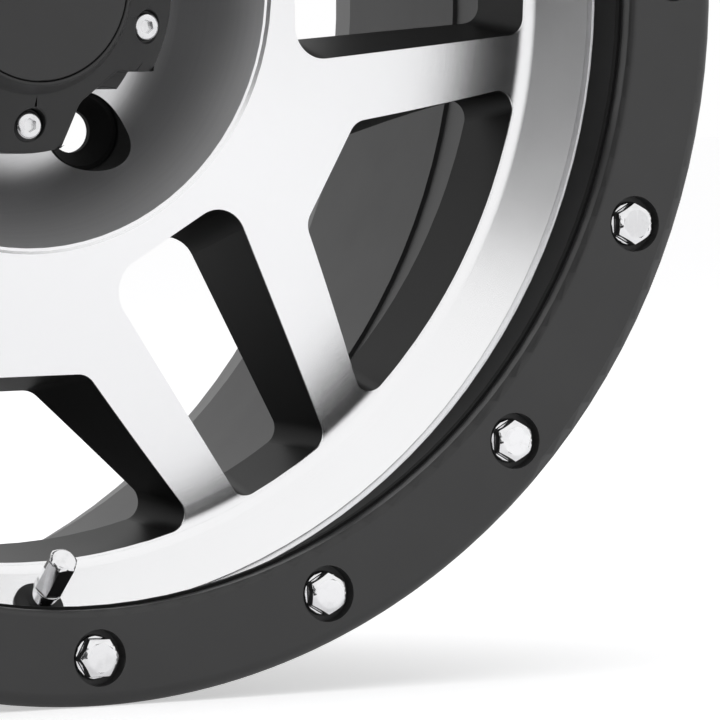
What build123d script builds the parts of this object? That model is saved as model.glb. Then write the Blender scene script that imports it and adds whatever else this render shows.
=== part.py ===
from build123d import *
import math
import os

# Off-road alloy wheel, 18 by 9 inches with five lugs: a casting, a bolted lip ring, a bolted cap and a valve.
# Y is the wheel's axis, the outer face looks along -Y, +Z is up, and y = 0 is the hub mounting face.
# Angles run clockwise from +X as seen from the outer face.

# Rim
rim_width = 228.6              # between the two bead flanges
bead_seat_radius = 231.0       # 18 inch bead seat
flange_height = 17.5
wheel_offset = 38.0            # hub face ahead of the rim's middle plane
front_flange_width = 12.2
rear_flange_width = 11.5
flange_shoulder = 5.0          # rounding-off of the flange towards the tyre
bead_root_rounding = 6.0
seat_length = 21.0
seat_taper_deg = 5.0
hump_height = 1.0
hump_width = 3.0
rim_wall = 5.6
well_depth = 23.0              # drop centre below the bead seats, on the tyre side
well_width = 24.5
well_ramp = 39.0               # length of the slope from the drop centre to the long barrel
well_rounding = 6.0
barrel_mouth_drop = 1.0        # the barrel's mouth lies this far inside the bead seats
barrel_mouth_length = 22.0
barrel_step = 1.2              # turned step inside the barrel
barrel_step_setback = 98.0     # from the rear bead flange to that step

# Lip and spoke face
lip_recess = 33.5              # from the flange front back to the lip
lip_inset = 9.2                # from the bead seats in to the lip's outer edge
lip_bead_width = 2.0
lip_drop = 14.0
lip_wall = 8.5
lip_span = 17.7                # width of the lip's slope, down to the crease at the spoke face
ledge_overhang = 7.6           # the ledge reaches this far in past the lip's outer edge
ledge_thickness = 2.5
face_dish = 12.2               # the bowl's edge stands this far ahead of the lip's inner edge
face_roll = 8.0                # the spokes roll back over this width where they meet the lip
face_roll_drop = 1.0
spoke_back_setback = 25.0      # from the lip's inner edge to the spokes' back, at the barrel

# Windows, given on the spoke face; the narrow ones lie between the two spokes of a pair
window_count = 6
window_land = 0.8              # left of the spoke face between a window and the lip
narrow_inner_distance = 103.0
narrow_inner_half = 28.7
narrow_outer_half = 20.2
narrow_inner_rounding = 12.0
wide_inner_distance = 135.9
wide_inner_half = 20.6
wide_outer_half = 65.3
wide_inner_rounding = 8.0
outer_rounding = 6.5
side_draft_deg = 10.5
outer_draft_deg = 12.0
cut_margin = 5.0

# Hub
hub_bore_radius = 39.05
hub_thickness = 13.0
hub_pad_radius = 84.0
hub_back_radius = 98.0
hub_back_step = 12.0           # the hub pad stands this far behind the spokes' back
bowl_edge_radius = 93.4
bowl_step_depth = 0.9          # the face slopes down to a narrow land at the bowl's edge
bowl_step_width = 1.1
bowl_land_width = 1.0
bowl_floor_radius = 68.8
bowl_rounding = 15.0
lug_count = 5
lug_circle_radius = 63.5       # 5 x 127 mm pattern
lug_hole_radius = 7.6
lug_land = 3.0
lug_seat_radius = 12.4
lug_seat_half_angle_deg = 30.0
lug_recess_radius = 14.0
pocket_inner_distance = 57.0   # weight pockets in the hub pad, between the lugs
pocket_inner_half = 9.0
pocket_outer_half = 17.0
pocket_rim = 6.0
pocket_depth = 6.5
pocket_rounding = 5.0

# Lip ring and its bolts
ring_thickness = 8.0
ring_setback = 1.0             # from the ledge's edge out to the ring's
ring_outer_rounding = 5.0
ring_inner_rounding = 2.4
ring_bolt_count = 16
bolt_edge_distance = 16.9      # from the flange's rim in to the bolts
recess_radius = 9.9
recess_depth = 5.2
bolt_flange_radius = 7.9
bolt_flange_edge = 0.7
bolt_flange_height = 1.7
bolt_across_flats = 13.0
bolt_head_height = 6.8
bolt_top_radius = 5.3
bolt_corner_chamfer = 1.5      # drop of the chamfer from the top to the corners
bolt_shank_radius = 3.9
bolt_engagement = 8.5
thread_clearance = 0.1
hole_clearance = 0.5
hole_bottom = 1.0              # free depth past a screw's end

# Centre cap
cap_height = 48.0              # from the bowl's floor to the disc's face
cap_top_radius = 34.8
cap_shoulder_radius = 37.7
cap_shoulder_drop = 5.8
cap_tab_radius = 58.4
cap_tab_drop = 15.6            # the tabs' outer edge lies this far behind the disc's face
cap_edge_rounding = 1.6
cap_foot_radius = 56.0
cap_cavity_radius = 36.5
cap_roof = 6.5
cap_cavity_shoulder = 13.0
scoop_floor_distance = 44.0
scoop_floor_half = 9.0
scoop_mouth_distance = 53.6
scoop_mouth_half = 21.5
scoop_rounding = 7.0
cap_foot_height = 19.0
foot_scoop_gap = 1.5           # from the lug recess to the cap's foot
disc_radius = 33.2
disc_thickness = 1.6
disc_groove = 0.35
disc_edge_rounding = 0.4
screw_circle_radius = 48.4
screw_head_radius = 4.9
screw_head_height = 3.0
screw_head_rounding = 1.4
screw_socket_flats = 4.4
screw_socket_depth = 1.9
screw_recess_radius = 5.9
screw_recess_depth = 3.4
screw_shank_radius = 2.95
screw_engagement = 8.0

# Tyre valve, measured along its own axis from the lip's surface
valve_angle_deg = 90.6
valve_inset = 5.8              # from the lip's outer edge in to where its axis meets the lip
valve_hole_radius = 5.75
valve_wall = 4.2
valve_pocket_radius = 10.0
spot_face_gap = 0.6            # round the shoulder, in the spot face it sits on
valve_fit = 0.05
shoulder_radius = 9.0
shoulder_edge = 1.4
shoulder_height = 3.4
bulb_radius = 7.7
bulb_length = 11.5
bulb_tip_radius = 5.2
rubber_radius = 4.2
sleeve_wall = 0.5
sleeve_start = 3.6
sleeve_length = 8.0
collar_radius = 5.3
collar_height = 1.1
insert_radius = 2.9
insert_bore_radius = 1.2
insert_tail = 1.5              # brass past the rubber bulb
thread_radius = 3.8
thread_length = 13.5
core_bore_radius = 2.6
core_chamber_radius = 2.0
core_chamber_length = 10.0
core_fit = 0.08
plug_height = 4.6
plug_recess = 0.9              # plug's top below the insert's tip
barrel_radius = 1.6
barrel_length = 6.4
plug_bore_radius = 0.95
gasket_height = 1.0
pin_radius = 0.6
pin_recess = 0.5               # pin's top below the insert's tip
cup_radius = 1.5
cup_height = 1.0
seal_height = 0.9
spring_radius = 1.05           # to the middle of the wire
spring_wire_radius = 0.16
spring_pitch = 1.3
spring_end_gap = 0.05
cap_thread_gap = 0.3
cap_wall = 0.6                 # at the middle of the valve cap's flats
cap_turn_deg = 0.0
cap_clear = 0.3                # from the collar to the valve cap's open end
cap_crown = 1.6
cap_crown_chamfer = 0.5        # at the top of the flats
cap_gasket_height = 1.2
cap_gasket_gap = 0.05          # from the insert's tip to the cap's gasket
cap_gasket_fit = 0.1           # round and above the gasket, inside the cap

# Worked-out positions
flange_radius = bead_seat_radius + flange_height
well_radius = bead_seat_radius - well_depth
barrel_mouth_radius = bead_seat_radius - barrel_mouth_drop
lip_outer_radius = bead_seat_radius - lip_inset
crease_radius = lip_outer_radius - lip_bead_width - lip_span
ledge_radius = lip_outer_radius - ledge_overhang
ring_inner_radius = ledge_radius + ring_setback
ring_bolt_circle = flange_radius - bolt_edge_distance
valve_radius = lip_outer_radius - valve_inset
front_bead_y = wheel_offset - rim_width / 2
rear_bead_y = wheel_offset + rim_width / 2
flange_front_y = front_bead_y - front_flange_width
rear_y = rear_bead_y + rear_flange_width
ring_face_y = flange_front_y - ring_thickness
lip_outer_y = flange_front_y + lip_recess
lip_inner_y = lip_outer_y + lip_drop
bowl_edge_y = lip_inner_y - face_dish
bowl_land_y = bowl_edge_y + bowl_step_depth
bowl_land_radius = bowl_edge_radius - bowl_step_width
floor_y = -hub_thickness
spoke_back_y = lip_inner_y + spoke_back_setback
spoke_back_radius = crease_radius - spoke_back_setback * math.tan(math.radians(outer_draft_deg))
window_outer_radius = crease_radius - window_land
face_slope = face_dish / (crease_radius - bowl_edge_radius)
seat_drop = seat_length * math.tan(math.radians(seat_taper_deg))
lip_slope = math.atan2(lip_drop, lip_span)


def section(corners):
    """Closed half-section from (radius, y, rounding) corners."""
    face = make_face(Polyline(*[(radius, y) for radius, y, _ in corners], close=True))
    for radius, y, rounding in corners:
        if rounding > 0:
            corner = face.vertices().sort_by_distance((radius, y, 0))[0]
            face = fillet(corner, rounding)
    return face


def turned(corners):
    """Solid of revolution about the wheel's axis."""
    return revolve(section(corners), Axis.Y)


def facing(y):
    """Plane across the axis that looks out of the wheel, with +X right and +Z up."""
    return Plane(origin=(0, y, 0), x_dir=(1, 0, 0), z_dir=(0, -1, 0))


def round_bar(radius, front, back):
    """Cylinder about the wheel's axis between two y values."""
    return extrude(facing(back) * Circle(radius), amount=back - front)


def at(distance, angle):
    """Place on a circle about the wheel's axis."""
    return Rot(0, angle, 0) * Pos(distance, 0, 0)


def spread(count, start=0.0):
    """Evenly spaced angles in degrees."""
    return [start + index * 360 / count for index in range(count)]


# Rim, spokes and hub as one turned blank
def casting_blank():
    front_seat_end = front_bead_y + seat_length
    rear_seat_end = rear_bead_y - seat_length
    seat_end_radius = bead_seat_radius - seat_drop
    hump_radius = seat_end_radius + hump_height
    well_front_y = lip_inner_y + lip_wall
    well_rear_y = well_front_y + well_width
    ramp_end_y = well_rear_y + well_ramp
    step_y = rear_bead_y - barrel_step_setback
    barrel_radius_inside = seat_end_radius - rim_wall
    return turned([
        (hub_bore_radius, 0, 0),
        (hub_bore_radius, floor_y, 0),
        (bowl_floor_radius, floor_y, bowl_rounding),
        (bowl_land_radius - bowl_land_width, bowl_land_y, 0),
        (bowl_land_radius, bowl_land_y, 0),
        (bowl_edge_radius, bowl_edge_y, 0),
        (crease_radius - face_roll, lip_inner_y - face_roll_drop, 0),
        (crease_radius, lip_inner_y, 0),
        (lip_outer_radius - lip_bead_width, lip_outer_y, 0),
        (lip_outer_radius, lip_outer_y, 0),
        (ledge_radius, flange_front_y + ledge_thickness, 0),
        (ledge_radius, flange_front_y, 0),
        (flange_radius, flange_front_y, 0),
        (flange_radius, front_bead_y, flange_shoulder),
        (bead_seat_radius, front_bead_y, bead_root_rounding),
        (seat_end_radius, front_seat_end, 0),
        (hump_radius, front_seat_end + hump_width / 2, 0),
        (hump_radius, front_seat_end + hump_width, 0),
        (well_radius, well_front_y, well_rounding),
        (well_radius, well_rear_y, well_rounding),
        (seat_end_radius, ramp_end_y, well_rounding),
        (seat_end_radius, rear_seat_end - 2 * hump_width, 0),
        (hump_radius, rear_seat_end - hump_width, 0),
        (hump_radius, rear_seat_end - hump_width / 2, 0),
        (seat_end_radius, rear_seat_end, 0),
        (bead_seat_radius, rear_bead_y, bead_root_rounding),
        (flange_radius, rear_bead_y, flange_shoulder),
        (flange_radius, rear_y, 0),
        (barrel_mouth_radius, rear_y, 0),
        (barrel_radius_inside + barrel_step, rear_y - barrel_mouth_length, 0),
        (barrel_radius_inside, step_y + barrel_step, 0),
        (barrel_radius_inside + barrel_step, step_y, 0),
        (barrel_radius_inside, ramp_end_y, 0),
        (well_radius - rim_wall, well_rear_y, well_rounding),
        (spoke_back_radius, spoke_back_y, 0),
        (hub_back_radius, -hub_back_step, 0),
        (hub_pad_radius, 0, 0),
    ])


def window_outline(y, inner_distance, inner_half, outer_half, inner_rounding):
    """Window outline at a depth: its walls lean inwards from the face by the draft."""
    lean = math.tan(math.radians(side_draft_deg))
    outer_lean = math.tan(math.radians(outer_draft_deg))
    inner_y = lip_inner_y - (crease_radius - inner_distance) * face_slope
    inner_inset = (y - inner_y) * lean
    outer_inset = (y - lip_inner_y) * lean
    arc_radius = window_outer_radius - (y - lip_inner_y) * outer_lean
    low = inner_distance + inner_inset
    inner_wide = inner_half - inner_inset
    outer_wide = outer_half - outer_inset
    high = math.sqrt(arc_radius ** 2 - outer_wide ** 2)
    inner_edge = Line((low, -inner_wide), (low, inner_wide))
    upper_side = Line((low, inner_wide), (high, outer_wide))
    outer_edge = ThreePointArc((high, outer_wide), (arc_radius, 0), (high, -outer_wide))
    lower_side = Line((high, -outer_wide), (low, -inner_wide))
    face = make_face([inner_edge, upper_side, outer_edge, lower_side])
    inner_corners = face.vertices().sort_by(Axis.X)[:2]
    face = fillet(inner_corners, inner_rounding)
    outer_corners = [face.vertices().sort_by_distance((high, side * outer_wide, 0))[0] for side in (1, -1)]
    face = fillet(outer_corners, outer_rounding)
    return facing(y) * face


def window_cutter(*outline):
    front = window_outline(bowl_edge_y - cut_margin, *outline)
    back = window_outline(-hub_back_step + cut_margin, *outline)
    return loft([front, back], ruled=True)


def lug_cutter():
    seat_depth = (lug_seat_radius - lug_hole_radius) / math.tan(math.radians(lug_seat_half_angle_deg))
    land_y = -lug_land
    seat_y = land_y - seat_depth
    return turned([
        (0, cut_margin, 0),
        (lug_hole_radius, cut_margin, 0),
        (lug_hole_radius, land_y, 0),
        (lug_seat_radius, seat_y, 0),
        (lug_recess_radius, seat_y, 0),
        (lug_recess_radius, bowl_edge_y - cut_margin, 0),
        (0, bowl_edge_y - cut_margin, 0),
    ])


def pocket_cutter():
    reach = hub_pad_radius - pocket_rim
    outline = make_face(Polyline(
        (pocket_inner_distance, -pocket_inner_half),
        (pocket_inner_distance, pocket_inner_half),
        (reach, pocket_outer_half),
        (reach, -pocket_outer_half),
        close=True,
    ))
    outline = fillet(outline.vertices(), pocket_rounding)
    return extrude(facing(cut_margin) * outline, amount=cut_margin + pocket_depth)


# Valve axis: from the lip's surface out towards the wheel's middle and the viewer
valve_foot_y = lip_outer_y + (lip_outer_radius - lip_bead_width - valve_radius) * math.tan(lip_slope)
valve_plane = Plane(
    origin=(valve_radius, valve_foot_y, 0),
    x_dir=(0, 0, 1),
    z_dir=(-math.sin(lip_slope), -math.cos(lip_slope), 0),
)


def valve_turned(corners):
    """Solid of revolution about the valve's axis, from (radius, height, rounding) corners."""
    face = section(corners)
    upright = revolve(Plane.XZ * face, Axis.Z)
    return Rot(0, valve_angle_deg, 0) * (valve_plane.location * upright)


def tube(outer, inner, low, high):
    """Plain ring on the valve's axis."""
    return valve_turned([(inner, low, 0), (outer, low, 0), (outer, high, 0), (inner, high, 0)])


def wheel_casting():
    narrow = window_cutter(narrow_inner_distance, narrow_inner_half, narrow_outer_half, narrow_inner_rounding)
    wide = window_cutter(wide_inner_distance, wide_inner_half, wide_outer_half, wide_inner_rounding)
    tools = []
    for angle in spread(window_count):
        tools.append(Rot(0, angle, 0) * narrow)
        tools.append(Rot(0, angle + 180 / window_count, 0) * wide)
    lug = lug_cutter()
    for angle in lug_angles:
        tools.append(at(lug_circle_radius, angle) * lug)
    screw_hole = round_bar(screw_shank_radius + thread_clearance, floor_y, screw_end_y + hole_bottom)
    pocket = pocket_cutter()
    for angle in screw_angles:
        tools.append(at(screw_circle_radius, angle) * screw_hole)
        tools.append(Rot(0, angle, 0) * pocket)
    bolt_hole = round_bar(bolt_shank_radius + thread_clearance, flange_front_y, bolt_end_y + hole_bottom)
    for angle in spread(ring_bolt_count):
        tools.append(at(ring_bolt_circle, angle) * bolt_hole)
    tools.append(tube(valve_hole_radius, 0.0, -valve_wall - cut_margin, cut_margin))
    tools.append(tube(valve_pocket_radius, 0.0, -valve_wall - bulb_length - cut_margin, -valve_wall))
    tools.append(tube(shoulder_radius + spot_face_gap, 0.0, 0.0, sleeve_start + sleeve_length))
    return casting_blank() - tools


screw_angles = spread(lug_count, 90.0)
lug_angles = spread(lug_count, 90.0 + 180 / lug_count)
recess_floor_y = ring_face_y + recess_depth
bolt_end_y = flange_front_y + bolt_engagement


def lip_ring():
    ring = turned([
        (ring_inner_radius, flange_front_y, 0),
        (ring_inner_radius, ring_face_y, ring_inner_rounding),
        (flange_radius, ring_face_y, ring_outer_rounding),
        (flange_radius, flange_front_y, 0),
    ])
    recess = round_bar(recess_radius, ring_face_y - cut_margin, recess_floor_y)
    through = round_bar(bolt_shank_radius + hole_clearance, ring_face_y, flange_front_y + cut_margin)
    hole = recess + through
    return ring - [at(ring_bolt_circle, angle) * hole for angle in spread(ring_bolt_count)]


def ring_bolt(turn):
    head_y = recess_floor_y - bolt_head_height
    flange_y = recess_floor_y - bolt_flange_height
    corner_radius = bolt_across_flats / 2 / math.cos(math.radians(30))
    flange = turned([
        (0, recess_floor_y, 0),
        (bolt_flange_radius, recess_floor_y, 0),
        (bolt_flange_radius, recess_floor_y - bolt_flange_edge, 0),
        (corner_radius, flange_y, 0),
        (0, flange_y, 0),
    ])
    outline = RegularPolygon(bolt_across_flats / 2, 6, major_radius=False, rotation=turn)
    hexagon = extrude(facing(recess_floor_y) * outline, amount=bolt_head_height)
    chamfered = turned([
        (0, recess_floor_y, 0),
        (corner_radius, recess_floor_y, 0),
        (corner_radius, head_y + bolt_corner_chamfer, 0),
        (bolt_top_radius, head_y, 0),
        (0, head_y, 0),
    ])
    shank = round_bar(bolt_shank_radius, recess_floor_y - bolt_flange_edge, bolt_end_y)
    return flange + (hexagon & chamfered) + shank


def ring_bolts():
    """Sixteen bolts, tightened to different turns."""
    bolts = []
    for index, angle in enumerate(spread(ring_bolt_count)):
        turn = 0.0 if index % 4 == 0 else 30.0
        bolts.append(Rot(0, angle, 0) * Pos(ring_bolt_circle, 0, 0) * Rot(0, -angle, 0) * ring_bolt(turn))
    return Compound(children=bolts)


disc_face_y = floor_y - cap_height
tab_edge_y = disc_face_y + cap_tab_drop
shoulder_y = disc_face_y + cap_shoulder_drop
screw_tab_share = (screw_circle_radius - cap_shoulder_radius) / (cap_tab_radius - cap_shoulder_radius)
screw_tab_y = shoulder_y + (tab_edge_y - shoulder_y) * screw_tab_share
screw_seat_y = screw_tab_y + screw_recess_depth
screw_end_y = floor_y + screw_engagement


def scoop_cutter():
    """Room for a lug nut and its socket between two tabs."""
    reach = cap_tab_radius + cut_margin
    widen = (scoop_mouth_half - scoop_floor_half) / (scoop_mouth_distance - scoop_floor_distance)
    reach_half = scoop_mouth_half + (reach - scoop_mouth_distance) * widen
    outline = make_face(Polyline(
        (scoop_floor_distance, -scoop_floor_half),
        (scoop_floor_distance, scoop_floor_half),
        (reach, reach_half),
        (reach, -reach_half),
        close=True,
    ))
    outline = fillet(outline.vertices().sort_by(Axis.X)[:2], scoop_rounding)
    foot_y = floor_y - cap_foot_height
    upper = extrude(facing(foot_y) * outline, amount=foot_y - disc_face_y + cut_margin)
    foot_radius = lug_recess_radius + foot_scoop_gap
    lower = Pos(lug_circle_radius, 0, 0) * round_bar(foot_radius, foot_y, floor_y + cut_margin)
    return upper + lower


def centre_cap():
    recess_y = disc_face_y + disc_thickness
    roof_y = disc_face_y + cap_roof
    cap = turned([
        (0, recess_y, 0),
        (disc_radius + disc_groove, recess_y, 0),
        (disc_radius + disc_groove, disc_face_y, 0),
        (cap_top_radius, disc_face_y, 0),
        (cap_shoulder_radius, shoulder_y, 0),
        (cap_tab_radius, tab_edge_y, cap_edge_rounding),
        (cap_tab_radius, floor_y - cap_foot_height, 0),
        (cap_foot_radius, floor_y - cap_foot_height, 0),
        (cap_foot_radius, floor_y, 0),
        (cap_cavity_radius, floor_y, 0),
        (cap_cavity_radius, roof_y + cap_cavity_shoulder, 0),
        (cap_cavity_radius - cap_cavity_shoulder / 2, roof_y, 0),
        (0, roof_y, 0),
    ])
    recess = round_bar(screw_recess_radius, disc_face_y, screw_seat_y)
    through = round_bar(screw_shank_radius + hole_clearance, disc_face_y, floor_y + cut_margin)
    hole = recess + through
    tools = [Rot(0, angle, 0) * scoop_cutter() for angle in lug_angles]
    tools += [at(screw_circle_radius, angle) * hole for angle in screw_angles]
    return cap - tools


def cap_disc():
    return turned([
        (0, disc_face_y + disc_thickness, 0),
        (disc_radius, disc_face_y + disc_thickness, 0),
        (disc_radius, disc_face_y, disc_edge_rounding),
        (0, disc_face_y, 0),
    ])


def cap_screws():
    head_y = screw_seat_y - screw_head_height
    screw = turned([
        (0, screw_end_y, 0),
        (screw_shank_radius, screw_end_y, 0),
        (screw_shank_radius, screw_seat_y, 0),
        (screw_head_radius, screw_seat_y, 0),
        (screw_head_radius, head_y, screw_head_rounding),
        (0, head_y, 0),
    ])
    socket = RegularPolygon(screw_socket_flats / 2, 6, major_radius=False)
    screw -= extrude(facing(head_y + screw_socket_depth) * socket, amount=screw_socket_depth + cut_margin)
    return Compound(children=[at(screw_circle_radius, angle) * screw for angle in screw_angles])


# Heights along the valve's axis
sleeve_end = sleeve_start + sleeve_length
cap_start = sleeve_end + cap_clear
thread_end = sleeve_end + thread_length
bulb_end = -valve_wall - bulb_length
insert_end = bulb_end - insert_tail
plug_top = thread_end - plug_recess
plug_bottom = plug_top - plug_height
gasket_bottom = plug_bottom - gasket_height
barrel_end = plug_bottom - barrel_length
seal_bottom = barrel_end - seal_height
cup_bottom = seal_bottom - cup_height
chamber_end = cup_bottom - core_chamber_length
pin_top = thread_end - pin_recess
gasket_top = thread_end + cap_gasket_gap + cap_gasket_height
cap_bore_end = gasket_top + cap_gasket_fit
cap_bore_radius = thread_radius + cap_thread_gap


def valve_body():
    return valve_turned([
        (insert_radius, bulb_end, 0),
        (bulb_tip_radius, bulb_end, 0),
        (bulb_radius, -valve_wall - valve_fit, 0),
        (valve_hole_radius - valve_fit, -valve_wall - valve_fit, 0),
        (valve_hole_radius - valve_fit, valve_fit, 0),
        (shoulder_radius, valve_fit, 0),
        (shoulder_radius, shoulder_edge, 0),
        (rubber_radius, shoulder_height, 0),
        (rubber_radius, sleeve_end - collar_height, 0),
        (insert_radius, sleeve_end - collar_height, 0),
    ])


def valve_sleeve():
    inner = rubber_radius + valve_fit
    outer = inner + sleeve_wall
    return valve_turned([
        (inner, sleeve_start, 0),
        (outer, sleeve_start, 0),
        (outer, sleeve_end - collar_height, 0),
        (collar_radius, sleeve_end - collar_height, 0),
        (collar_radius, sleeve_end, 0),
        (inner, sleeve_end, 0),
    ])


def valve_insert():
    return valve_turned([
        (insert_bore_radius, insert_end, 0),
        (insert_radius - valve_fit, insert_end, 0),
        (insert_radius - valve_fit, sleeve_end, 0),
        (thread_radius, sleeve_end, 0),
        (thread_radius, thread_end, 0),
        (core_bore_radius, thread_end, 0),
        (core_bore_radius, gasket_bottom, 0),
        (core_chamber_radius, gasket_bottom, 0),
        (core_chamber_radius, chamber_end, 0),
        (insert_bore_radius, chamber_end, 0),
    ])


def core_plug():
    return valve_turned([
        (plug_bore_radius, barrel_end, 0),
        (barrel_radius, barrel_end, 0),
        (barrel_radius, plug_bottom, 0),
        (core_bore_radius - core_fit, plug_bottom, 0),
        (core_bore_radius - core_fit, plug_top, 0),
        (plug_bore_radius, plug_top, 0),
    ])


def core_gasket():
    return tube(core_bore_radius - core_fit, barrel_radius + core_fit, gasket_bottom, plug_bottom)


def core_pin():
    return valve_turned([
        (0, cup_bottom, 0),
        (cup_radius, cup_bottom, 0),
        (cup_radius, seal_bottom, 0),
        (pin_radius, seal_bottom, 0),
        (pin_radius, pin_top, 0),
        (0, pin_top, 0),
    ])


def core_seal():
    return tube(cup_radius, pin_radius + core_fit, seal_bottom, barrel_end)


def core_spring():
    """Coil between the chamber's floor and the pin's cup."""
    low = chamber_end + spring_wire_radius + spring_end_gap
    high = cup_bottom - spring_wire_radius - spring_end_gap
    path = Helix(spring_pitch, high - low, spring_radius, center=(0, 0, low))
    wire = Plane(origin=path @ 0, z_dir=path % 0) * Circle(spring_wire_radius)
    coil = sweep(wire, path, is_frenet=True)
    return Rot(0, valve_angle_deg, 0) * (valve_plane.location * coil)


def valve_cap():
    """Hexagon cap with a turned crown."""
    flat = cap_bore_radius + cap_wall
    corner = flat / math.cos(math.radians(30))
    top = cap_bore_end + cap_crown
    drop = corner - flat + cap_crown_chamfer
    crowned = valve_turned([
        (cap_bore_radius, cap_start, 0),
        (corner, cap_start, 0),
        (corner, top - drop, 0),
        (corner - drop, top, 0),
        (0, top, 0),
        (0, cap_bore_end, 0),
        (cap_bore_radius, cap_bore_end, 0),
    ])
    outline = RegularPolygon(flat, 6, major_radius=False, rotation=cap_turn_deg)
    bar = extrude(Pos(0, 0, cap_start) * outline, amount=top - cap_start)
    return crowned & (Rot(0, valve_angle_deg, 0) * (valve_plane.location * bar))


def cap_gasket():
    return tube(cap_bore_radius - cap_gasket_fit, 0.0, gasket_top - cap_gasket_height, gasket_top)


nodes = {
    "wheel_casting": wheel_casting,
    "lip_ring": lip_ring,
    "ring_bolts": ring_bolts,
    "centre_cap": centre_cap,
    "cap_disc": cap_disc,
    "cap_screws": cap_screws,
    "valve_body": valve_body,
    "valve_sleeve": valve_sleeve,
    "valve_insert": valve_insert,
    "core_plug": core_plug,
    "core_gasket": core_gasket,
    "core_pin": core_pin,
    "core_seal": core_seal,
    "core_spring": core_spring,
    "valve_cap": valve_cap,
    "cap_gasket": cap_gasket,
}

os.makedirs("parts", exist_ok=True)
for name, make in nodes.items():
    export_step(make(), "parts/" + name + ".step")
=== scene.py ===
import bpy
import math
from mathutils import Matrix, Vector


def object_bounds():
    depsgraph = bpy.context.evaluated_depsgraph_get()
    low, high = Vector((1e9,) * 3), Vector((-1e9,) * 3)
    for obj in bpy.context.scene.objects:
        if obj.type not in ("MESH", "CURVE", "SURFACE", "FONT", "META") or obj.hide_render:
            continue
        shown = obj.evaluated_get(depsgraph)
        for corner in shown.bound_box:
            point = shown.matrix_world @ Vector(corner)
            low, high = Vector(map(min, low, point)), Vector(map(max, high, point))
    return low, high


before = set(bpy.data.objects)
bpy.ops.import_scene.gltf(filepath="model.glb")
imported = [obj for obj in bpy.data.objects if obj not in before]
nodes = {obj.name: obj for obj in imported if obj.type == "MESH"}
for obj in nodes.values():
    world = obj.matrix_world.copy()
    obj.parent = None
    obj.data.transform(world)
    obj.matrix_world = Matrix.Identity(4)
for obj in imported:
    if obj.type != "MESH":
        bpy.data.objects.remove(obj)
cadLow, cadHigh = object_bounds()
print("frame loaded:", len(nodes), "nodes")


# shader helpers
def addNode(tree, kind, **settings):
    node = tree.nodes.new(kind)
    for key, value in settings.items():
        setattr(node, key, value)
    return node


def feed(tree, socket, value):  # a socket is linked, a plain value is set
    if isinstance(value, bpy.types.NodeSocket):
        tree.links.new(value, socket)
    else:
        socket.default_value = value


def calc(tree, operation, *values):
    node = addNode(tree, "ShaderNodeMath", operation=operation)
    for socket, value in zip(node.inputs, values):
        feed(tree, socket, value)
    return node.outputs[0]


def band(tree, value, low, high):  # 0 below low, 1 above high
    node = addNode(tree, "ShaderNodeMapRange", interpolation_type="SMOOTHSTEP")
    feed(tree, node.inputs["Value"], value)
    feed(tree, node.inputs["From Min"], low)
    feed(tree, node.inputs["From Max"], high)
    return node.outputs["Result"]


def mixColor(tree, factor, first, second):
    node = addNode(tree, "ShaderNodeMix", data_type="RGBA")
    feed(tree, node.inputs[0], factor)
    feed(tree, node.inputs[6], first)
    feed(tree, node.inputs[7], second)
    return node.outputs[2]


def mixValue(tree, factor, first, second):
    node = addNode(tree, "ShaderNodeMix", data_type="FLOAT")
    feed(tree, node.inputs[0], factor)
    feed(tree, node.inputs[2], first)
    feed(tree, node.inputs[3], second)
    return node.outputs[0]


def noise(tree, scale, detail, vector):
    node = addNode(tree, "ShaderNodeTexNoise")
    feed(tree, node.inputs["Scale"], scale)
    feed(tree, node.inputs["Detail"], detail)
    feed(tree, node.inputs["Vector"], vector)
    return node.outputs["Fac"]


def newGroup(name, inputs, outputs):
    tree = bpy.data.node_groups.new(name, "ShaderNodeTree")
    for label, kind, default in inputs:
        socket = tree.interface.new_socket(label, in_out="INPUT", socket_type=kind)
        if default is not None:
            socket.default_value = default
    for label, kind in outputs:
        tree.interface.new_socket(label, in_out="OUTPUT", socket_type=kind)
    return tree, addNode(tree, "NodeGroupInput"), addNode(tree, "NodeGroupOutput")


def place(tree, group, **values):  # put a shared group into a material
    node = addNode(tree, "ShaderNodeGroup", node_tree=group)
    for label, value in values.items():
        feed(tree, node.inputs[label], value)
    return node.outputs


def newMaterial(name):
    material = bpy.data.materials.new(name)
    material.use_nodes = True
    tree = material.node_tree
    return material, tree, tree.nodes["Principled BSDF"]


def bump(tree, height, strength, distance):
    node = addNode(tree, "ShaderNodeBump")
    feed(tree, node.inputs["Height"], height)
    feed(tree, node.inputs["Strength"], strength)
    feed(tree, node.inputs["Distance"], distance)
    return node.outputs["Normal"]


def grey(level):
    return (level, level, level * 1.01, 1.0)


# shared effects
def buildWheelPlace():  # radius and depth about the wheel's axis, in metres
    tree, _, out = newGroup("wheelPlace", [], [
        ("Radius", "NodeSocketFloat"), ("Depth", "NodeSocketFloat"), ("Angle", "NodeSocketFloat")])
    where = addNode(tree, "ShaderNodeTexCoord").outputs["Object"]
    split = addNode(tree, "ShaderNodeSeparateXYZ")
    feed(tree, split.inputs[0], where)
    x, y, z = split.outputs
    square = calc(tree, "ADD", calc(tree, "MULTIPLY", x, x), calc(tree, "MULTIPLY", z, z))
    feed(tree, out.inputs["Radius"], calc(tree, "SQRT", square))
    feed(tree, out.inputs["Depth"], y)
    feed(tree, out.inputs["Angle"], calc(tree, "ARCTAN2", calc(tree, "MULTIPLY", z, -1.0), x))
    return tree


turnedLook = {"wave": 0.35, "unevenness": 0.37}
coatLook = {"fineScale": 4.0, "fineShare": 0.4, "cloudScale": 38.0}
handlingLook = {"detail": 5.0, "start": 0.42, "full": 0.72}


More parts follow.
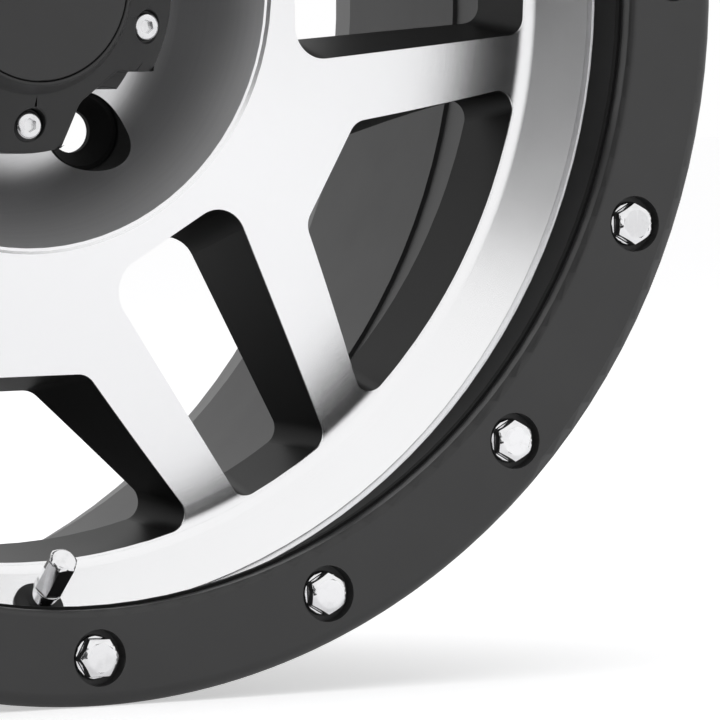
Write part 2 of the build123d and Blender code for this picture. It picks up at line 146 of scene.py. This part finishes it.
def buildTurnedMarks():  # fine rings left by a lathe tool, uneven from ring to ring
    tree, given, out = newGroup("turnedMarks", [
        ("Radius", "NodeSocketFloat", 0.1), ("Pitch", "NodeSocketFloat", 0.0004)], [
        ("Height", "NodeSocketFloat"), ("Tone", "NodeSocketFloat")])
    rings = calc(tree, "DIVIDE", given.outputs["Radius"], given.outputs["Pitch"])
    wave = calc(tree, "SINE", calc(tree, "MULTIPLY", rings, 2 * math.pi))
    spread = addNode(tree, "ShaderNodeCombineXYZ")
    feed(tree, spread.inputs[0], rings)
    uneven = noise(tree, turnedLook["unevenness"], 2.0, spread.outputs[0])
    ripple = calc(tree, "MULTIPLY", wave, turnedLook["wave"])
    feed(tree, out.inputs["Height"], calc(tree, "ADD", ripple, uneven))
    feed(tree, out.inputs["Tone"], uneven)
    return tree


def buildCoatGrain():  # orange peel and fine speckle of a sprayed coat
    tree, given, out = newGroup("coatGrain", [("Scale", "NodeSocketFloat", 900.0)], [
        ("Height", "NodeSocketFloat"), ("Tone", "NodeSocketFloat")])
    where = addNode(tree, "ShaderNodeTexCoord").outputs["Object"]
    peel = noise(tree, given.outputs["Scale"], 2.0, where)
    fine = noise(tree, calc(tree, "MULTIPLY", given.outputs["Scale"], coatLook["fineScale"]), 1.0, where)
    speckle = calc(tree, "MULTIPLY", fine, coatLook["fineShare"])
    feed(tree, out.inputs["Height"], calc(tree, "ADD", peel, speckle))
    feed(tree, out.inputs["Tone"], noise(tree, coatLook["cloudScale"], 3.0, where))
    return tree


def buildHandling():  # soft smudges where hands and cloths have been
    tree, given, out = newGroup("handling", [("Scale", "NodeSocketFloat", 30.0)], [
        ("Mask", "NodeSocketFloat")])
    where = addNode(tree, "ShaderNodeTexCoord").outputs["Object"]
    blot = noise(tree, given.outputs["Scale"], handlingLook["detail"], where)
    feed(tree, out.inputs["Mask"], band(tree, blot, handlingLook["start"], handlingLook["full"]))
    return tree


wheelPlace = buildWheelPlace()
turnedMarks = buildTurnedMarks()
coatGrain = buildCoatGrain()
handling = buildHandling()
print("shared effects ready")


# edges: real parts have a small radius on every corner
edges = {"mergeWithin": 0.000005, "segments": 2, "fromAngle": 28.0}


def soften(name, width):
    piece = nodes[name]
    weld = piece.modifiers.new("weld", "WELD")
    weld.merge_threshold = edges["mergeWithin"]
    bevel = piece.modifiers.new("edge", "BEVEL")
    bevel.width = width
    bevel.segments = edges["segments"]
    bevel.limit_method = "ANGLE"
    bevel.angle_limit = math.radians(edges["fromAngle"])
    bevel.use_clamp_overlap = False
    normals = piece.modifiers.new("normals", "WEIGHTED_NORMAL")
    normals.keep_sharp = False
    normals.weight = 100


def dress(name, material):
    piece = nodes[name]
    piece.data.materials.clear()
    piece.data.materials.append(material)


# casting: machined face and lip, turned bowl, black paint in the windows and wells, darker black as painted
# shade in the flare and wells, grey barrel lightened by a painted sheen
casting = {
    "bowlEdge": 0.0934,
    "crease": 0.2021,
    "lipInner": -0.041,
    "faceSlope": 0.1123,
    "lipSlope": 0.791,
    "lipOuter": 0.2221,
    "landInner": 0.0913,
    "landDepth": 0.0014,
    "landOverlap": 0.0003,
    "cutDepth": 0.0004,
    "lipDepth": 0.0019,
    "lipInset": 0.0008,
    "lipMargin": 0.0003,
    "bowlFloor": -0.0127,
    "hubFace": -0.0002,
    "maskEdge": 0.0001,
    "lugCircle": 0.0635,
    "lugWell": 0.0141,
    "lugTurn": 54.0,
    "lugCount": 5,
    "spokeBack": -0.014,
    "barrelWall": 0.012,
    "flareDepth": -0.0558,
    "faceTone": 0.94,
    "faceFade": 0.04,
    "bowlTone": 0.8,
    "bowlFade": 0.05,
    "bowlGain": 0.02,
    "paintTone": 0.009,
    # flare black is darker than the window paint: a matte black coat plus painted shade of the wall in
    # shadow behind the ring
    "flareShadedTone": 0.006,
    # lug wells darker still: painted shade in the recesses over their black paint
    "wellShadedTone": 0.003,
    # barrel grey: graphite paint, lightened as a painted sheen of grazing light on the glossy black
    "barrelGreyAndSheenTone": 0.085,
    "faceRoughness": 0.24,
    "bowlRoughness": 0.46,
    "paintRoughness": 0.4,
    "flareRoughness": 0.75,
    "paintGloss": 0.25,
    "paintMottle": 0.35,
    "grainScale": 700.0,
    "smudgeScale": 24.0,
    "smudgeRoughness": 0.015,
    "markStrength": 0.12,
    "markDepth": 0.00006,
    "toolPitch": 0.00032,
    "blendReach": 0.004,
    "blendRadius": 0.01,
}


def castingMaterial():
    c = casting
    material, tree, shader = newMaterial("wheelAlloy")
    spot = place(tree, wheelPlace)
    radius, depth, angle = spot["Radius"], spot["Depth"], spot["Angle"]
    hair = c["maskEdge"]

    def over(value, level):
        return band(tree, value, level - hair, level + hair)

    def under(value, level):
        return calc(tree, "SUBTRACT", 1.0, over(value, level))

    def both(*masks):
        result = masks[0]
        for mask in masks[1:]:
            result = calc(tree, "MULTIPLY", result, mask)
        return result

    def either(*masks):
        result = masks[0]
        for mask in masks[1:]:
            result = calc(tree, "MAXIMUM", result, mask)
        return result

    # machined face: within the cut depth of the spoke face's cone
    toCrease = calc(tree, "SUBTRACT", c["crease"], radius)
    faceLine = calc(tree, "SUBTRACT", c["lipInner"], calc(tree, "MULTIPLY", toCrease, c["faceSlope"]))
    below = calc(tree, "SUBTRACT", depth, faceLine)
    face = both(under(below, c["cutDepth"]), over(radius, c["bowlEdge"]), under(radius, c["crease"]))
    # the bright step and land at the bowl's edge
    step = both(under(below, c["landDepth"]), under(radius, c["bowlEdge"] + c["landOverlap"]),
                over(radius, c["landInner"]))
    # lip: close to its own cone
    lipLine = calc(tree, "ADD", c["lipInner"], calc(tree, "MULTIPLY", toCrease, c["lipSlope"]))
    offLip = calc(tree, "ABSOLUTE", calc(tree, "SUBTRACT", depth, lipLine))
    lip = both(under(offLip, c["lipDepth"]), over(radius, c["crease"] - c["lipInset"]),
               under(radius, c["lipOuter"] - c["lipMargin"]))
    machined = either(face, step, lip)
    # bowl without its lug wells
    fold = 2 * math.pi / c["lugCount"]
    turn = calc(tree, "SUBTRACT", angle, math.radians(c["lugTurn"]) - fold / 2)
    within = calc(tree, "SUBTRACT", calc(tree, "FLOORED_MODULO", turn, fold), fold / 2)
    outward = calc(tree, "MULTIPLY", radius, calc(tree, "COSINE", within))
    along = calc(tree, "SUBTRACT", outward, c["lugCircle"])
    across = calc(tree, "MULTIPLY", radius, calc(tree, "SINE", within))
    fromLug = calc(tree, "SQRT", calc(tree, "ADD", calc(tree, "MULTIPLY", along, along),
                                      calc(tree, "MULTIPLY", across, across)))
    inBowl = under(radius, c["bowlEdge"] - hair)
    bowl = both(inBowl, under(depth, c["bowlFloor"]), over(fromLug, c["lugWell"]))
    hubFace = both(over(depth, c["hubFace"]), inBowl)
    bare = either(machined, bowl, hubFace)
    # zones in paint: flare, lug wells and barrel, whose tones below carry painted shade and painted sheen
    well = both(inBowl, under(fromLug, c["lugWell"]))
    flare = both(under(depth, c["flareDepth"]), over(radius, c["crease"]))
    barrel = both(over(depth, c["spokeBack"]), over(radius, c["crease"] - c["barrelWall"]))
    # colours
    marks = place(tree, turnedMarks, Radius=radius, Pitch=c["toolPitch"])
    grain = place(tree, coatGrain, Scale=c["grainScale"])
    smudge = place(tree, handling, Scale=c["smudgeScale"])["Mask"]
    bright = mixColor(tree, marks["Tone"], grey(c["faceTone"] - c["faceFade"]), grey(c["faceTone"]))
    satin = mixColor(tree, marks["Tone"], grey(c["bowlTone"] - c["bowlFade"]),
                     grey(c["bowlTone"] + c["bowlGain"]))
    # the barrel gets a lighter grey: graphite paint plus a painted sheen of grazing light
    coatShadeAndSheen = mixColor(tree, barrel, grey(c["paintTone"]), grey(c["barrelGreyAndSheenTone"]))
    # the flare wall gets the darker black: painted shade over its matte black paint
    coatShadeAndSheen = mixColor(tree, flare, coatShadeAndSheen, grey(c["flareShadedTone"]))
    # lug wells get the darkest black: painted shade in the recesses
    coatShadeAndSheen = mixColor(tree, well, coatShadeAndSheen, grey(c["wellShadedTone"]))
    coatShadeAndSheen = mixColor(tree, calc(tree, "MULTIPLY", grain["Tone"], c["paintMottle"]), coatShadeAndSheen, grey(0.0))
    metal = mixColor(tree, machined, satin, bright)
    feed(tree, shader.inputs["Base Color"], mixColor(tree, bare, coatShadeAndSheen, metal))
    feed(tree, shader.inputs["Metallic"], bare)
    shader.inputs["Specular IOR Level"].default_value = c["paintGloss"]
    rough = mixValue(tree, machined, c["bowlRoughness"], c["faceRoughness"])
    dull = mixValue(tree, either(flare, well), c["paintRoughness"], c["flareRoughness"])
    rough = mixValue(tree, bare, dull, rough)
    touched = calc(tree, "MULTIPLY", smudge, c["smudgeRoughness"])
    feed(tree, shader.inputs["Roughness"], calc(tree, "ADD", rough, touched))
    height = mixValue(tree, bare, grain["Height"], marks["Height"])
    # the spoke face runs into the lip over a soft hollow
    upLip = calc(tree, "MULTIPLY", toCrease, -math.hypot(1.0, c["lipSlope"]))
    left = calc(tree, "SUBTRACT", c["blendReach"], calc(tree, "MAXIMUM", toCrease, upLip))
    left = calc(tree, "MAXIMUM", left, 0.0)
    fill = calc(tree, "DIVIDE", calc(tree, "MULTIPLY", left, left), 2 * c["blendRadius"])
    flat = addNode(tree, "ShaderNodeNewGeometry").outputs["Normal"]
    hollow = addNode(tree, "ShaderNodeMix", data_type="VECTOR")
    feed(tree, hollow.inputs[0], machined)
    feed(tree, hollow.inputs[4], flat)
    feed(tree, hollow.inputs[5], bump(tree, fill, 1.0, 1.0))
    fine = bump(tree, height, c["markStrength"], c["markDepth"])
    feed(tree, fine.node.inputs["Normal"], hollow.outputs[1])
    feed(tree, shader.inputs["Normal"], fine)
    return material


# sprayed and moulded blacks
blacks = {
    "ringBlack": {"tone": 0.03, "roughness": 0.42, "scale": 1100.0, "peel": 0.1},
    "capBlack": {"tone": 0.022, "roughness": 0.4, "scale": 1500.0, "peel": 0.08},
    "discBlack": {"tone": 0.028, "roughness": 0.46, "scale": 1500.0, "peel": 0.08},
    "valveRubber": {"tone": 0.012, "roughness": 0.55, "scale": 2600.0, "peel": 0.12},
    "sealRubber": {"tone": 0.02, "roughness": 0.6, "scale": 4000.0, "peel": 0.1},
}


blackFinish = {"spread": 0.15, "smudgeScale": 30.0, "smudgeRoughness": 0.06, "peelDepth": 0.00005}


def blackMaterial(name):
    v = blacks[name]
    material, tree, shader = newMaterial(name)
    grain = place(tree, coatGrain, Scale=v["scale"])
    smudge = place(tree, handling, Scale=blackFinish["smudgeScale"])["Mask"]
    dark = grey(v["tone"] * (1 - blackFinish["spread"]))
    pale = grey(v["tone"] * (1 + blackFinish["spread"]))
    feed(tree, shader.inputs["Base Color"], mixColor(tree, grain["Tone"], dark, pale))
    touched = calc(tree, "MULTIPLY", smudge, blackFinish["smudgeRoughness"])
    feed(tree, shader.inputs["Roughness"], calc(tree, "ADD", touched, v["roughness"]))
    feed(tree, shader.inputs["Normal"], bump(tree, grain["Height"], v["peel"], blackFinish["peelDepth"]))
    return material


# bare and plated metals
metals = {
    "boltChrome": {"color": (0.86, 0.86, 0.87, 1.0), "roughness": 0.08},
    "valveChrome": {"color": (0.86, 0.86, 0.87, 1.0), "roughness": 0.06},
    "screwSteel": {"color": (0.82, 0.82, 0.83, 1.0), "roughness": 0.2},
    "springSteel": {"color": (0.55, 0.55, 0.57, 1.0), "roughness": 0.25},
    "valveBrass": {"color": (0.78, 0.57, 0.28, 1.0), "roughness": 0.25},
}


metalFinish = {
    "dulled": 0.9,
    "smudgeScale": 220.0,
    "smudgeRoughness": 0.07,
    "grainScale": 3000.0,
    "grainStrength": 0.04,
    "grainDepth": 0.00002,
}


def metalMaterial(name):
    v = metals[name]
    material, tree, shader = newMaterial(name)
    f = metalFinish
    smudge = place(tree, handling, Scale=f["smudgeScale"])["Mask"]
    grain = place(tree, coatGrain, Scale=f["grainScale"])
    dull = tuple(channel * f["dulled"] for channel in v["color"][:3]) + (1.0,)
    feed(tree, shader.inputs["Base Color"], mixColor(tree, smudge, v["color"], dull))
    shader.inputs["Metallic"].default_value = 1.0
    touched = calc(tree, "MULTIPLY", smudge, f["smudgeRoughness"])
    feed(tree, shader.inputs["Roughness"], calc(tree, "ADD", touched, v["roughness"]))
    feed(tree, shader.inputs["Normal"], bump(tree, grain["Height"], f["grainStrength"], f["grainDepth"]))
    return material


finish = {"wheelAlloy": castingMaterial()}
for name in blacks:
    finish[name] = blackMaterial(name)
for name in metals:
    finish[name] = metalMaterial(name)
print("finishes ready:", len(finish))

wears = {
    "wheel_casting": ("wheelAlloy", 0.0),
    "lip_ring": ("ringBlack", 0.0),
    "ring_bolts": ("boltChrome", 0.00025),
    "centre_cap": ("capBlack", 0.0005),
    "cap_disc": ("discBlack", 0.0),
    "cap_screws": ("screwSteel", 0.00015),
    "valve_body": ("valveRubber", 0.0003),
    "valve_sleeve": ("valveChrome", 0.00012),
    "valve_insert": ("valveBrass", 0.0001),
    "core_plug": ("valveBrass", 0.00008),
    "core_gasket": ("sealRubber", 0.0),
    "core_pin": ("valveBrass", 0.00008),
    "core_seal": ("sealRubber", 0.0),
    "core_spring": ("springSteel", 0.0),
    "valve_cap": ("valveChrome", 0.00015),
    "cap_gasket": ("sealRubber", 0.0),
}
for name, (material, edge) in wears.items():
    dress(name, finish[material])
    if edge > 0:
        soften(name, edge)
print("nodes dressed")


# studio
studio = {
    "floorSize": 30.0,
    "floorTone": 0.85,
    "floorMottle": 0.02,
    "floorScale": 3.0,
    "floorLift": 0.5,
    "floorGlow": 0.31,
    "fill": 0.5,
    "lampAim": (0.0, -0.05, 0.0),
    "lamps": {
        "topLamp": {"at": (0.2, -0.6, 2.4), "size": 2.6, "power": 20.0},
        "rightLamp": {"at": (2.2, -2.2, 0.7), "size": 2.2, "power": 14.0},
        "backLamp": {"at": (-0.6, 2.6, 1.4), "size": 2.0, "power": 10.0},
    },
    "flags": {
        "leftFlag": {"at": (-1.99, -1.67, 0.67), "facing": (0.0, -0.05, 0.67), "width": 1.3, "height": 1.82,
                     "tone": 0.045, "topTone": 0.3},
        "floorFlag": {"at": (-1.1, -1.0, -0.2465), "facing": (-1.1, -1.0, -1.0), "width": 1.9, "height": 1.6,
                      "tone": 0.045, "topTone": 0.045},
    },
}


def seenDirectly(tree):  # camera, glossy and transmission rays see the pale set
    path = addNode(tree, "ShaderNodeLightPath")
    seen = calc(tree, "MAXIMUM", path.outputs["Is Camera Ray"], path.outputs["Is Glossy Ray"])
    return calc(tree, "MAXIMUM", seen, path.outputs["Is Transmission Ray"])


def buildWorld():
    world = bpy.data.worlds.new("studioAir")
    bpy.context.scene.world = world
    world.use_nodes = True
    tree = world.node_tree
    air = tree.nodes["Background"]
    air.inputs["Color"].default_value = (1.0, 1.0, 1.0, 1.0)
    feed(tree, air.inputs["Strength"], mixValue(tree, seenDirectly(tree), studio["fill"], 1.0))


def buildFloor():
    half = studio["floorSize"] / 2
    level = cadLow.z
    mesh = bpy.data.meshes.new("floor")
    corners = [(-half, -half, level), (half, -half, level), (half, half, level), (-half, half, level)]
    mesh.from_pydata(corners, [], [(0, 1, 2, 3)])
    floor = bpy.data.objects.new("floor", mesh)
    bpy.context.scene.collection.objects.link(floor)
    material, tree, shader = newMaterial("floorPaint")
    where = addNode(tree, "ShaderNodeTexCoord").outputs["Object"]
    tone = noise(tree, studio["floorScale"], 2.0, where)
    plain = grey(studio["floorTone"])
    paler = grey(studio["floorTone"] + studio["floorMottle"])
    feed(tree, shader.inputs["Base Color"], mixColor(tree, tone, plain, paler))
    shader.inputs["Roughness"].default_value = 0.9
    path = addNode(tree, "ShaderNodeLightPath")
    lift = calc(tree, "MULTIPLY", seenDirectly(tree), studio["floorGlow"])
    lift = mixValue(tree, path.outputs["Is Camera Ray"], lift, studio["floorLift"])
    shader.inputs["Emission Color"].default_value = (1.0, 1.0, 1.0, 1.0)
    feed(tree, shader.inputs["Emission Strength"], lift)
    mesh.materials.append(material)


def aimAt(thing, target):
    thing.rotation_euler = (Vector(target) - thing.location).to_track_quat("-Z", "Y").to_euler()


def buildLamps():
    for name, v in studio["lamps"].items():
        data = bpy.data.lights.new(name, "AREA")
        data.shape = "SQUARE"
        data.size = v["size"]
        data.energy = v["power"]
        lamp = bpy.data.objects.new(name, data)
        lamp.location = v["at"]
        lamp.visible_glossy = False
        aimAt(lamp, studio["lampAim"])
        bpy.context.scene.collection.objects.link(lamp)


def buildFlags():  # dark cards that give the metal something to reflect
    for name, v in studio["flags"].items():
        w, h = v["width"] / 2, v["height"] / 2
        mesh = bpy.data.meshes.new(name)
        mesh.from_pydata([(-w, -h, 0), (w, -h, 0), (w, h, 0), (-w, h, 0)], [], [(0, 1, 2, 3)])
        flag = bpy.data.objects.new(name, mesh)
        flag.location = v["at"]
        aimAt(flag, v["facing"])
        bpy.context.scene.collection.objects.link(flag)
        material, tree, shader = newMaterial(name + "Card")
        split = addNode(tree, "ShaderNodeSeparateXYZ")
        feed(tree, split.inputs[0], addNode(tree, "ShaderNodeTexCoord").outputs["Generated"])
        shade = mixColor(tree, split.outputs[1], grey(v["tone"]), grey(v["topTone"]))
        feed(tree, shader.inputs["Base Color"], shade)
        shader.inputs["Roughness"].default_value = 1.0
        shader.inputs["Specular IOR Level"].default_value = 0.0
        mesh.materials.append(material)
        flag.visible_camera = False
        flag.visible_shadow = False
        flag.visible_diffuse = False


camera = {
    "at": (-1.14278, -2.51983, -0.02826),
    "heading": 27.2065,
    "tilt": -2.2001,
    "roll": -1.2685,
    "lens": 390.516,
}


def buildCamera():
    heading, tilt, roll = (math.radians(camera[key]) for key in ("heading", "tilt", "roll"))
    aim = Vector((math.sin(heading) * math.cos(tilt), math.cos(heading) * math.cos(tilt), math.sin(tilt)))
    level = aim.cross(Vector((0, 0, 1))).normalized()
    upright = level.cross(aim)
    right = level * math.cos(roll) + upright * math.sin(roll)
    up = upright * math.cos(roll) - level * math.sin(roll)
    data = bpy.data.cameras.new("camera")
    data.lens = camera["lens"]
    data.sensor_width = 36.0
    data.clip_end = 100.0
    eye = bpy.data.objects.new("camera", data)
    eye.matrix_world = Matrix.Translation(camera["at"]) @ Matrix((right, up, -aim)).transposed().to_4x4()
    bpy.context.scene.collection.objects.link(eye)
    bpy.context.scene.camera = eye


buildWorld()
buildFloor()
buildLamps()
buildFlags()
buildCamera()
bpy.context.scene.view_settings.view_transform = "Standard"
print("studio ready")
